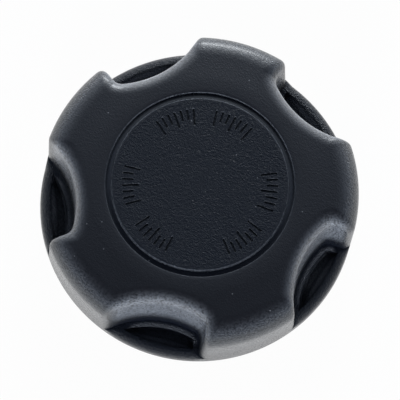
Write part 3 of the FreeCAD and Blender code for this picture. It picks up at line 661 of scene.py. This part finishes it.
def floorGrids(low, high, foot):
    # Ledge, rim with its round, and recess in one notch; columns follow the foot of the wall
    g = grip
    edge = low[-1][0][:-1]
    curve = edge + foot + high[-1][0][-2::-1]
    lengths = [0.0]
    for a, b in zip(curve, curve[1:]):
        lengths.append(lengths[-1] + math.dist(a, b))
    angles = [mix(angleOf(curve[0]), angleOf(curve[-1]), run / lengths[-1]) for run in lengths]
    rimInner = g.capRadius - g.rimWidth
    ends = [outline.alongAtRadius(rimInner, -g.ledgeWidth, side) for side in (-1, 1)]
    corners = [outline.at(end, -g.ledgeWidth)[0] for end in ends]
    firstJ, lastJ = (min(range(len(edge), len(curve) - len(edge)),
                         key=lambda j: math.dist(curve[j][:2], corner)) for corner in corners)
    top = g.rimHeight
    outer = wallRadius(top)
    rounds = []
    for point, angle in zip(curve, angles):
        soft = min(g.rimRound, g.rimRoundMost * (outer - math.hypot(*point[:2])))
        section = arc(outer - soft, top - soft, soft, evenly(90, 0, gripSteps.rim))
        rounds.append([polar(radius, angle, height) for radius, height in section])
    inner, outerEdge = [], []
    for j in range(len(curve)):
        if firstJ <= j <= lastJ:
            share = (j - firstJ) / (lastJ - firstJ)
            place, _ = outline.at(mix(*ends, share), -g.ledgeWidth)
            inner.append((*place, top))
            outerEdge.append(polar(rimInner, mix(*map(angleOf, corners), share), top))
        else:
            side, share = ((0, j / firstJ) if j < firstJ
                           else (-1, (len(curve) - 1 - j) / (len(curve) - 1 - lastJ)))
            inner.append(mixPoints(curve[side], (*corners[side], top), share))
            outerEdge.append(inner[-1])
    # From the ledge a steep side, then a floor that rises towards the rim
    soft, blend, depth = g.edgeSoft, g.recessBlend, g.recessDepth
    sections = [(0.0, 0.0), (0.5 * soft, 0.15 * soft), (0.85 * soft, 0.5 * soft), (soft, soft)]
    sections += arc(soft + 0.1 + blend, depth - blend, blend, (180, 150, 120, 90))
    start = sections[-1][0]
    recess = [[] for _ in range(len(sections) + g.floorSteps)]
    for j in range(firstJ, lastJ + 1):
        width = math.dist(inner[j], outerEdge[j])
        scale = min(1.0, width / (2.5 * start))
        inner[j] = (inner[j][0], inner[j][1], top - g.ledgeFall * scale)
        share = 1 / width if width > 0.001 else 0.0
        for row, (inset, drop) in zip(recess, sections):
            point = mixPoints(inner[j], outerEdge[j], inset * scale * share)
            fall = g.ledgeFall + drop * (1 - g.ledgeFall / depth)
            row.append((point[0], point[1], top - fall * scale))
        floor = evenly(start * scale * share, 1.0, g.floorSteps)[1:]
        for step, (row, place) in enumerate(zip(recess[len(sections):], floor), 1):
            rise = depth * scale * (1 - step / g.floorSteps) ** g.floorBend
            point = mixPoints(inner[j], outerEdge[j], place)
            row.append((point[0], point[1], top - rise))
    rimRows = [outerEdge] + [list(row) for row in zip(*rounds)]
    return ([curve, inner], rimRows, recess), angles


def gripSector():
    # A notch, the lobe after it, and the groove, hub and bore that belong to them
    g = grip
    shell = Shell()
    profile = outerProfile()
    low, high = (blendStrip(profile, side) for side in (-1, 1))

    # Groove, its rounded edges and the crown up to the notches
    start = angleOf(high[0][0][0])
    rings = grooveProfile()
    rings += [(radius, crownProfile(radius)[0])
              for radius in evenly(rings[-1][0], profile[0][0], 4)[1:]]
    shell.grid(turnedRows(rings, evenly(start, start + sector, gripSteps.lobe)))

    # The lobe, then blends, wall, floor and rim of the notch
    lobe = []
    for (radius, height, _, _), (first, _), (last, _) in zip(profile, high, low):
        lobeLine = evenly(angleOf(first[0]), angleOf(last[0]) + sector, gripSteps.lobe)
        lobe.append([polar(radius, angle, height) for angle in lobeLine])
    wall = wallGrid(low, high)
    floors, notchLine = floorGrids(low, high, wall[-1])
    for rows in (lobe, [points for points, _ in low], [points for points, _ in high], wall,
                 *floors):
        shell.grid(rows)

    # Outside of the rim down to the table, under the notch and under the lobe
    foot, base = g.footRound, wallRadius(0)
    footSection = [(wallRadius(foot), foot), (base - foot * 0.3, foot * 0.3), (base - foot, 0.0)]
    for line, first in ((notchLine, floors[1][-1]), (lobeLine, lobe[-1])):
        shell.grid([first] + turnedRows(footSection, line))

    # Underside: pocket of the lobe, its side walls, hub and bore
    def sideAngles(radius):
        return [angleOf(outline.at(outline.alongAtRadius(radius, g.wall, side), g.wall)[0])
                for side in (-1, 1)]

    outer, bend, roof = g.capRadius - g.wall - g.pocketGap, g.innerShoulder, g.roofLow
    ceiling = [(outer, 0.0), (outer, g.hubLow)]
    ceiling += arc(outer - bend, roof - bend, bend, range(0, 91, 18))
    ceiling += [(radius, roof) for radius in evenly(outer - bend, g.hubOuter, 3)[1:]]
    ceiling += [(g.hubOuter, g.hubLow)]
    pocket = []
    for radius, height in ceiling:
        lowSide, highSide = sideAngles(radius)
        line = evenly(highSide, lowSide + sector, gripSteps.lobe)
        pocket.append([polar(radius, angle, height) for angle in line])
    sides = ([], [])
    notchBottom = turnedRows(footSection[-1:], notchLine)
    for radius, height in ceiling[2:-1]:
        pair = sideAngles(radius)
        for rows, angle in zip(sides, pair):
            rows.append([polar(radius, angle, z) for z in (0.0, g.hubLow, height)])
        notchBottom += turnedRows([(radius, 0.0)], evenly(*pair, len(notchLine) - 1))
    hubNotch = evenly(*pair, len(notchLine) - 1)
    for rows in (pocket, turnedRows(footSection[-1:], lobeLine) + pocket[:1], *sides, notchBottom,
                 turnedRows([(g.hubOuter, 0.0), (g.hubOuter, g.hubLow)], hubNotch)):
        shell.grid(rows)
    bore = [(g.hubOuter, g.hubLow), (g.hubBore, g.hubLow), (g.hubBore, g.snapLow),
            (g.snapBottom, g.snapLow), (g.snapBottom, g.snapTop), (g.hubBore, g.snapTop),
            (g.hubBore, roof), (g.hubBore * 0.6, roof), (0.0, roof)]
    for angles in (hubNotch, line):
        shell.grid(turnedRows(bore, angles))
    return shell, start


def grooveProfile():
    # From the disc's chamfered edge through the groove to the crown; the floor falls outwards
    g = grip
    top, soft, edge, nook = g.topHeight, g.grooveRound, g.grooveEdge, g.grooveNook
    inner, outer = g.discRadius, g.discRadius + g.grooveWidth
    floor = top - g.grooveDepth
    return (arc(inner - soft, top - edge, edge, (90, 75, 55, 40))
            + arc(inner - edge, top - soft - 0.3 * edge, edge, (40, 20, 0))
            + arc(inner + nook, floor + g.grooveFall + nook, nook, (180, 225, 270))
            + arc(outer - nook, floor + nook, nook, (270, 315, 360))
            + arc(outer + edge, top - edge, edge, (180, 150, 120, 90)))


# Generic graduation on the disc: short engraved strokes in three arcs

marks = Values({
    "arcMiddles": (86.0, -30.0, 205.0),   # image directions of the three arcs
    "imageTurn": 35.07,
    "groups": 2, "strokes": 7, "strokeStep": 4.9, "groupStep": 47.0, "longEvery": 3,
    "outerEnd": 23.9, "longStroke": 5.6, "shortStroke": 3.8, "width": 0.7,
    "endSteps": 5, "rimBand": 0.6, "walls": ((0.96, 0.12), (0.9, 0.6)),   # shrink and depth
})


def strokeOutline(angle, length):
    # A slot with round ends along a radius, anticlockwise
    half = marks.width / 2
    outer, inner = marks.outerEnd - half, marks.outerEnd - length + half
    slot = (arc(outer, 0.0, half, evenly(-90, 90, marks.endSteps))
            + arc(inner, 0.0, half, evenly(90, 270, marks.endSteps)))
    return [(x * math.cos(angle) - y * math.sin(angle),
             x * math.sin(angle) + y * math.cos(angle)) for x, y in slot]


def discFace(start):
    # The flat of the disc with the strokes cut out, then each stroke's wall and bottom
    top = grip.topHeight
    rimRadius = grip.discRadius - grip.grooveRound
    radius = rimRadius - marks.rimBand
    line = evenly(start, start + 2 * math.pi, gripSteps.lobe * grip.lobes)
    rim = [polar(radius, angle, top)[:2] for angle in line[:-1]]
    loops = []
    for middle in marks.arcMiddles:
        for group in range(marks.groups):
            centre = middle + marks.imageTurn + marks.groupStep * (group - 0.5)
            for stroke in range(marks.strokes):
                angle = centre + marks.strokeStep * (stroke - (marks.strokes - 1) / 2)
                length = marks.shortStroke if stroke % marks.longEvery else marks.longStroke
                loops.append(strokeOutline(math.radians(angle), length))
    curve = bpy.data.curves.new("discFace", "CURVE")
    curve.dimensions = "2D"
    curve.fill_mode = "FRONT"
    for loop in [rim] + loops:
        spline = curve.splines.new("POLY")
        spline.points.add(len(loop) - 1)
        for point, (x, y) in zip(spline.points, loop):
            point.co = (x * mm, y * mm, 0, 1)
        spline.use_cyclic_u = True
    holder = addObject("discFlat", curve)
    flat = evaluatedMesh(holder)
    bpy.data.objects.remove(holder)
    flat.transform(Matrix.Translation((0, 0, top * mm)))
    shell = Shell()
    shell.grid(turnedRows([(radius, top), (rimRadius, top)], line))
    for loop in loops:
        centre = [sum(values) / len(loop) for values in zip(*loop)]
        rings = [[(mix(centre[0], x, shrink), mix(centre[1], y, shrink), top - drop)
                  for x, y in loop + loop[:1]] for shrink, drop in ((1.0, 0.0), *marks.walls)]
        shell.grid(rings)
        shell.cap(rings[-1])
    return addObject("discTop", flat), shell.item("discStrokes", turn=False)


def radialPlate(side, thick, angle):
    # A rib or key: its side view is given as (radius, height) points, its edges are eased
    middle = [sum(values) / len(side) for values in zip(*side)]
    shell = Shell()
    rings = []
    half, soft = thick / 2, grip.plateEase
    for across, inset in ((-half, soft), (soft - half, 0.0), (half - soft, 0.0), (half, soft)):
        ring = []
        for point in side + side[:1]:
            r, z = mixPoints(point, middle, inset / math.dist(point, middle))
            ring.append((r * math.cos(angle) - across * math.sin(angle),
                         r * math.sin(angle) + across * math.cos(angle), z))
        rings.append(ring)
    shell.tube(rings)
    return shell


def ribSide():
    # A rib ends in the wall of the lobe and follows the round under the shoulder
    g = grip
    inner, outer, bend = g.hubOuter - 1, g.capRadius - g.wall + 0.2, g.innerShoulder
    roof = g.roofLow + g.plateSink
    return ([(inner, g.ribLow), (outer, g.ribLow)]
            + arc(outer - bend, roof - bend, bend, range(0, 91, 18)) + [(inner, roof)])


def makeGripShell():
    g = grip
    shell, start = gripSector()
    around = turnedRound(shell.item("gripSector", turn=False), g.lobes, "grip_plastic")
    body = joined("gripShell", [around, *discFace(start)], seal=True)
    ribs = []
    for step in (-1, 0, 1):
        angle = sector / 2 + math.radians(step * g.ribAngle)
        ribs.append(radialPlate(ribSide(), g.ribThickness, angle).item("rib"))
    ribSet = turnedRound(joined("gripRibs", ribs), g.lobes, "grip_plastic")
    inner, outer, low, top = g.keyInner, g.hubBore + 1, g.keyLow, g.roofLow + g.plateSink
    keySide = [(inner, low), (outer, low), (outer, top), (inner, top)]
    key = radialPlate(keySide, g.keyWidth, 0.0).item("gripKeys")
    keySet = turnedRound(key, g.keyCount, "grip_plastic")
    whole = joined("gripShell", [body, ribSet, keySet])
    smoothed(whole.data, 28.0)
    return whole


def asPiece(item, body, slot, node=None):
    item.data.materials.clear()
    item.data.materials.append(finishes[slot].material)
    if node:
        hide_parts(node)
    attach(item, body)
    print(item.name + ":", len(item.data.polygons), "faces, open edges", openEdges(item))


asPiece(makeGripShell(), "grip", "grip_plastic", "grip_shell")


# Neck thread: a ridge that winds round the closure's bore and runs out at both ends

thread = Values({
    "bore": 31.0, "ridge": 1.25, "pitch": 5.0, "low": 5.2, "turns": 1.65, "root": 2.7,
    "crest": 0.9, "runOut": 0.09, "steps": 150, "hidden": 0.15, "least": 0.02, "ease": 0.1,
    "easeShare": 0.82, "easeWidth": 0.12,
})


def makeThread():
    t = thread
    rings = []
    for along in evenly(0, 1, t.steps):
        angle = 2 * math.pi * t.turns * along
        middle = t.low + t.pitch * t.turns * along
        full = min(1.0, along / t.runOut, (1 - along) / t.runOut)
        full = mix(t.least, 1.0, math.sin(full * math.pi / 2))
        back, crest = t.bore + t.hidden, t.bore - t.ridge * full
        side = t.bore - t.ridge * full * t.easeShare
        root, top = t.root / 2 * mix(0.5, 1, full), t.crest / 2
        wide, narrow = top + t.easeWidth, top - t.ease
        section = [(back, -root), (t.bore, -root), (side, -wide), (crest, -narrow),
                   (crest, narrow), (side, wide), (t.bore, root), (back, root)]
        rings.append([polar(r, angle, middle + z) for r, z in section + section[:1]])
    shell = Shell()
    shell.tube(rings)
    return shell.item("neckThread", 40.0)


asPiece(makeThread(), "closure", "closure_plastic")


# Housing screws: countersunk, hexagon socket, rolled thread; three copies about the axis

screw = Values({
    "circle": 15.8, "headLow": 15.3, "headRadius": 2.2, "headHeight": 1.1, "shank": 1.1,
    "threadRoot": 0.86, "threadPitch": 0.5, "threadStart": 0.3, "threadEnd": 1.2, "tip": 0.55,
    "length": 6.0, "socket": 0.95, "socketDepth": 0.8, "socketPoint": 0.15, "ease": 0.1,
    "columns": 24, "count": 3,
})


def makeScrews():
    s = screw
    low = s.headLow
    line = evenly(0, 2 * math.pi, s.columns)

    def ring(radius, height):
        return [polar(radius, angle, height) for angle in line]

    def socket(reach, height):
        # A six-cornered outline with as many points as the round rows have
        points = []
        for angle in line:
            inSide = (angle + math.pi / 6) % (math.pi / 3) - math.pi / 6
            radius = reach * math.cos(math.pi / 6) / math.cos(inSide)
            points.append(polar(radius, angle, height))
        return points

    rows = [ring(0.0, low + s.socketDepth + s.socketPoint),
            socket(s.socket * 0.9, low + s.socketDepth), socket(s.socket, low + s.ease),
            socket(s.socket * 1.1, low), ring(s.headRadius - 1.2 * s.ease, low),
            ring(s.headRadius, low + s.ease), ring(s.shank, low + s.headHeight)]
    height = low + s.headHeight + s.threadStart
    end = low + s.length
    while height < end - s.threadEnd:
        for radius, rise in ((s.threadRoot, 0.0), (s.shank, 0.4), (s.shank, 0.6)):
            rows.append(ring(radius, height + rise * s.threadPitch))
        height += s.threadPitch
    rows += [ring(s.threadRoot, height), ring(s.threadRoot, end - s.tip),
             ring(s.shank / 2, end), ring(0.0, end)]
    shell = Shell()
    shell.grid([[(x + s.circle, y, z) for x, y, z in row] for row in rows])
    return turnedRound(shell.item("housingScrews", 35.0), s.count, "spring_steel")


asPiece(makeScrews(), "closure", "spring_steel", "housing_screws")


# Fuel screen: plain weave, one set of wires turned a quarter round for the other, bound edge

screen = Values({
    "radius": 9.08, "pitch": 0.62, "wire": 0.07, "low": 16.5, "top": 16.8, "sides": 6,
    "perPitch": 4, "binding": 0.55, "gap": 0.12, "clearance": 0.005, "bindingSteps": 72,
})


def makeScreen():
    s = screen
    middle = (s.low + s.top) / 2
    wave = (s.top - s.low) / 2 - s.wire - s.clearance
    shell = Shell()
    count = int(2 * s.radius / s.pitch)
    for wire in range(-count // 2, count // 2 + 1):
        across = (wire + 0.5) * s.pitch
        reach = (s.radius - s.gap) ** 2 - across ** 2
        if reach < 1:
            continue
        half = math.sqrt(reach)
        sign = -1 if wire % 2 else 1
        rings = []
        for x in evenly(-half, half, max(4, int(2 * half / s.pitch * s.perPitch))):
            z = middle + sign * wave * math.sin(math.pi * x / s.pitch)
            rings.append([(x, *point) for point in
                          arc(across, z, s.wire, evenly(0, 360, s.sides))])
        shell.tube(rings)
    wires = turnedRound(shell.item("screenWires", 60.0), 2, "screen_steel", 90.0)
    band = Shell()
    inner, outer, low, top = s.radius - s.binding, s.radius, s.low + 0.01, s.top - 0.01
    section = [(inner, low + 0.04), (inner + 0.06, low), (outer - 0.06, low), (outer, low + 0.05),
               (outer, top - 0.05), (outer - 0.06, top), (inner + 0.06, top), (inner, top - 0.04)]
    band.grid(turnedRows(section + section[:1], evenly(0, 2 * math.pi, s.bindingSteps)))
    return joined("fuelScreen", [wires, band.item("screenBand", 50.0)])


asPiece(makeScreen(), "closure", "screen_steel", "fuel_screen")


# Springs: finer than the imported ones, in the same place

springs = {
    "pressure_spring": {
        "radius": 7.0, "wire": 0.6, "low": 20.0, "high": 23.6, "turns": 3, "steps": 168,
        "sides": 12, "joint": "relief_lift", "anchor": 23.6, "keep": 0.722, "body": "closure"},
    "vacuum_spring": {
        "radius": 1.85, "wire": 0.3, "low": 20.8, "high": 22.3, "turns": 3, "steps": 168,
        "sides": 12, "joint": "vacuum_open", "anchor": 20.8, "keep": 0.533,
        "body": "relief_valve"},
    "wave_spring": {
        "inner": 27.4, "outer": 32.4, "strip": 0.5, "low": 23.05, "high": 25.45, "waves": 3,
        "steps": 144, "soft": 0.1, "joint": "ratchet_lift", "anchor": 26.0, "keep": 0.6,
        "body": "grip"},
}


def coilShell(s):
    shell = Shell()
    thin = s.wire / 2
    rise = s.high - s.low - s.wire
    rings = []
    for along in evenly(0, 1, s.steps):
        section = arc(s.radius, s.low + thin + rise * along, thin, evenly(0, 360, s.sides))
        rings.append([polar(r, 2 * math.pi * s.turns * along, z) for r, z in section])
    shell.tube(rings)
    return shell


def waveShell(s):
    shell = Shell()
    inner, outer, strip, soft = s.inner, s.outer, s.strip, s.soft
    section = [(inner, soft), (inner + soft, 0.0), (outer - soft, 0.0), (outer, soft),
               (outer, strip - soft), (outer - soft, strip), (inner + soft, strip),
               (inner, strip - soft)]
    middle, swing = (s.low + s.high) / 2, (s.high - s.low) / 2
    shell.grid([[polar(r, angle, middle + swing * math.cos(s.waves * angle) + z)
                 for angle in evenly(0, 2 * math.pi, s.steps)] for r, z in section + section[:1]])
    return shell


for node, table in springs.items():
    s = Values(table)
    item = (waveShell if "waves" in s else coilShell)(s).item(camelCase(node), 50.0)
    asPiece(item, s.body, "spring_steel", node)
    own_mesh(item)


# Camera: the photograph's angle, worked out from the rim circle, the groove and the outline

view = Values({
    "azimuth": 28.0, "elevation": 76.08, "roll": -7.07, "distance": 0.6, "lens": 169.6,
    "originX": 197.5, "originY": 205.9, "imageSize": 400, "pixelsPerMm": 3.1408,
})


def towards(azimuth, elevation):
    # Direction from the object; azimuth 0 is the front, 90 the right
    turn, lift = math.radians(azimuth), math.radians(elevation)
    return Vector((math.sin(turn) * math.cos(lift), -math.cos(turn) * math.cos(lift),
                   math.sin(lift)))


def makeCamera():
    back = towards(view.azimuth, view.elevation)
    levelRight = towards(view.azimuth + 90, 0)
    levelUp = back.cross(levelRight)
    roll = math.radians(view.roll)
    right = levelRight * math.cos(roll) - levelUp * math.sin(roll)
    up = levelRight * math.sin(roll) + levelUp * math.cos(roll)
    half = view.imageSize / 2
    aside = (half - view.originX) / view.pixelsPerMm * mm
    above = (view.originY - half) / view.pixelsPerMm * mm
    data = bpy.data.cameras.new("photoCamera")
    data.lens = view.lens
    data.sensor_width = 36
    camera = addObject("photoCamera", data)
    axes = Matrix((right, up, back)).transposed().to_4x4()
    place = back * view.distance + right * aside + up * above
    camera.matrix_world = Matrix.Translation(place) @ axes
    scene.camera = camera


makeCamera()


# Floor, world and lamps

studio = Values({
    "floorSize": 3.0, "floorGap": 0.00002, "cameraWhite": 0.97, "floorColour": 0.86,
    "poleAzimuth": 28.0, "poleElevation": 60.0,   # darkest place of the sky
    "sideShade": 0.2,
    "skyStops": (
        (0.0, (1.0, 1.0, 1.0)), (0.25, (0.85, 0.89, 0.95)), (0.45, (0.5, 0.55, 0.63)),
        (0.62, (0.3, 0.34, 0.41)), (0.725, (0.2, 0.23, 0.295)), (0.81, (0.14, 0.165, 0.22)),
        (0.886, (0.09, 0.105, 0.14)), (0.94, (0.03, 0.036, 0.055)), (1.0, (0.02, 0.024, 0.04))),
    # Azimuth, elevation, distance, size, power, colour, seen in reflections
    "lamps": {
        "farStrip": (208.0, 2.0, 1.0, 0.5, 5.0, (0.94, 0.97, 1.0), True),
        "farBox": (208.0, 6.0, 1.2, 0.5, 30.0, (0.92, 0.96, 1.0), False),
        "nearBox": (28.0, 10.0, 1.2, 0.5, 22.0, (0.92, 0.96, 1.0), False)},
})


def makeFloor():
    # Camera, glossy and transmission rays see plain white, the rest see a pale floor
    work = bmesh.new()
    bmesh.ops.create_grid(work, x_segments=1, y_segments=1, size=studio.floorSize)
    data = meshFrom(work, "studioFloor")
    data.transform(Matrix.Translation((0, 0, -studio.floorGap)))
    level = studio.floorColour
    finish = Finish("studioFloor", {"Roughness": 0.9, "Base Color": (level, level, level, 1)})
    rays = finish.node("ShaderNodeLightPath").outputs
    share = Number(finish, rays["Is Camera Ray"])
    for kind in ("Is Glossy Ray", "Is Transmission Ray"):
        share = share.math("MAXIMUM", rays[kind])
    glow = finish.node("ShaderNodeEmission").outputs[0]
    mixer = finish.node("ShaderNodeMixShader", None, share * studio.cameraWhite,
                        finish.shader.outputs[0], glow)
    finish.connect(finish.nodes["Material Output"].inputs[0], mixer.outputs[0])
    data.materials.append(finish.material)
    addObject("studioFloor", data)


def makeWorld():
    world = bpy.data.worlds.new("studioWorld")
    world.use_nodes = True
    scene.world = world
    tree = Tree(world.node_tree)
    place = tree.node("ShaderNodeTexCoord").outputs["Generated"]

    def along(way):
        node = tree.node("ShaderNodeVectorMath", {"operation": "DOT_PRODUCT"}, place, way)
        return Number(tree, node.outputs["Value"])

    height = along(towards(studio.poleAzimuth, studio.poleElevation))
    across = along(towards(studio.poleAzimuth + 90, 0)).math("ABSOLUTE")
    level = (height + 0.5) * (2 / 3) + across * studio.sideShade
    sky = tree.node("ShaderNodeValToRGB", None, level)
    stops = sky.color_ramp.elements
    while len(stops) < len(studio.skyStops):
        stops.new(0.5)
    for stop, (position, colour) in zip(stops, studio.skyStops):
        stop.position = position
        stop.color = (*colour, 1)
    dome = tree.nodes["Background"]
    tree.connect(dome.inputs["Color"], sky.outputs[0])
    white = tree.node("ShaderNodeBackground", Color=(1, 1, 1, 1))
    seen = tree.node("ShaderNodeLightPath").outputs["Is Camera Ray"]
    mixer = tree.node("ShaderNodeMixShader", None, seen, dome.outputs[0], white.outputs[0])
    tree.connect(tree.nodes["World Output"].inputs[0], mixer.outputs[0])


def addLamp(name, azimuth, elevation, distance, size, power, colour, reflected):
    data = bpy.data.lights.new(name, "AREA")
    data.shape = "DISK"
    data.size = size
    data.energy = power
    data.color = colour
    lamp = addObject(name, data)
    way = towards(azimuth, elevation)
    lamp.location = way * distance
    lamp.rotation_euler = way.to_track_quat("Z", "Y").to_euler()
    lamp.visible_glossy = reflected


makeFloor()
makeWorld()
for name, values in studio.lamps.items():
    addLamp(name, *values)
print("stage ready")

scene.view_settings.view_transform = "Standard"
